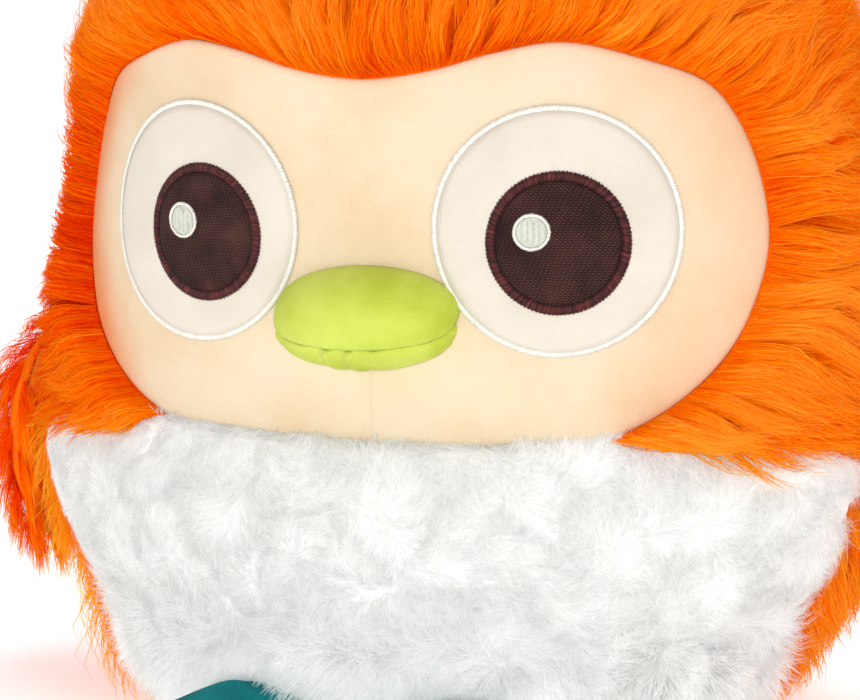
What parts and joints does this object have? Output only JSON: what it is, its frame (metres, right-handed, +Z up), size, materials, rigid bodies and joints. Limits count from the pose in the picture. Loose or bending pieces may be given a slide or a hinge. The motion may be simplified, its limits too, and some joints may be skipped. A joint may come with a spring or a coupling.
{
  "type": "plush owl",
  "caption": "Sitting plush owl with a short-pile face, embroidered eyes, a cushion beak, a curly belly, hinged wings and toed feet.",
  "frame": {"origin": "middle of the flat base that the owl sits on", "axes": "+Z up; -Y the way the owl looks; +X towards its left wing"},
  "size_m": [0.3126, 0.2279, 0.2926],
  "materials": {
    "orange_fur": "long silky orange pile",
    "orange_lining": "short matt orange pile",
    "white_curly_pile": "white curly pile",
    "peach_plush": "short smooth peach pile",
    "cream_plush": "short cream pile",
    "white_satin_thread": "glossy white embroidery thread",
    "brown_twill": "matt dark brown twill weave",
    "brown_satin_thread": "glossy red-brown embroidery thread",
    "lime_plush": "short lime green pile",
    "teal_plush": "short teal pile",
    "fibrefill": "loose white polyester filling"
  },
  "bodies": {
    "root": {"body_stuffing": "fibrefill", "base_panel": "orange_lining", "belly_panel": "white_curly_pile", "back_panel_left": "orange_fur", "back_panel_right": "orange_fur", "hood_panel_left": "orange_fur", "hood_panel_right": "orange_fur", "face_panel": "peach_plush", "eye_disc_left": "cream_plush", "eye_disc_right": "cream_plush", "eye_stitching_left": "white_satin_thread", "eye_stitching_right": "white_satin_thread", "pupil_left": "brown_twill", "pupil_right": "brown_twill", "pupil_stitching_left": "brown_satin_thread", "pupil_stitching_right": "brown_satin_thread", "highlight_left": "white_satin_thread", "highlight_right": "white_satin_thread", "highlight_edge_left": "white_satin_thread", "highlight_edge_right": "white_satin_thread", "beak_upper_panel": "lime_plush", "beak_lower_panel": "lime_plush", "beak_stuffing": "fibrefill", "ear_front_left": "orange_fur", "ear_back_left": "orange_fur", "ear_stuffing_left": "fibrefill", "ear_front_right": "orange_fur", "ear_back_right": "orange_fur", "ear_stuffing_right": "fibrefill"},
    "wing_left": {"wing_fur_left": "orange_fur", "wing_lining_left": "orange_lining", "wing_stuffing_left": "fibrefill"},
    "wing_right": {"wing_fur_right": "orange_fur", "wing_lining_right": "orange_lining", "wing_stuffing_right": "fibrefill"},
    "foot_left": {"foot_upper_left": "teal_plush", "foot_sole_left": "teal_plush", "foot_stuffing_left": "fibrefill"},
    "foot_right": {"foot_upper_right": "teal_plush", "foot_sole_right": "teal_plush", "foot_stuffing_right": "fibrefill"}
  },
  "joints": [
    {"name": "wing_seam_left", "type": "hinge", "parent": "root", "child": "wing_left", "pos_m": [0.14087, 0.006, 0.112], "axis": [0, -1, 0], "range_deg": [0, 70]},
    {"name": "wing_seam_right", "type": "hinge", "parent": "root", "child": "wing_right", "pos_m": [-0.14087, 0.006, 0.112], "axis": [0, 1, 0], "range_deg": [0, 70]},
    {"name": "foot_seam_left", "type": "hinge", "parent": "root", "child": "foot_left", "pos_m": [0.033, -0.08118, 0.0245], "axis": [-0.9781, -0.2079, 0], "range_deg": [0, 30]},
    {"name": "foot_seam_right", "type": "hinge", "parent": "root", "child": "foot_right", "pos_m": [-0.033, -0.08118, 0.0245], "axis": [-0.9781, 0.2079, 0], "range_deg": [0, 30]}
  ]
}
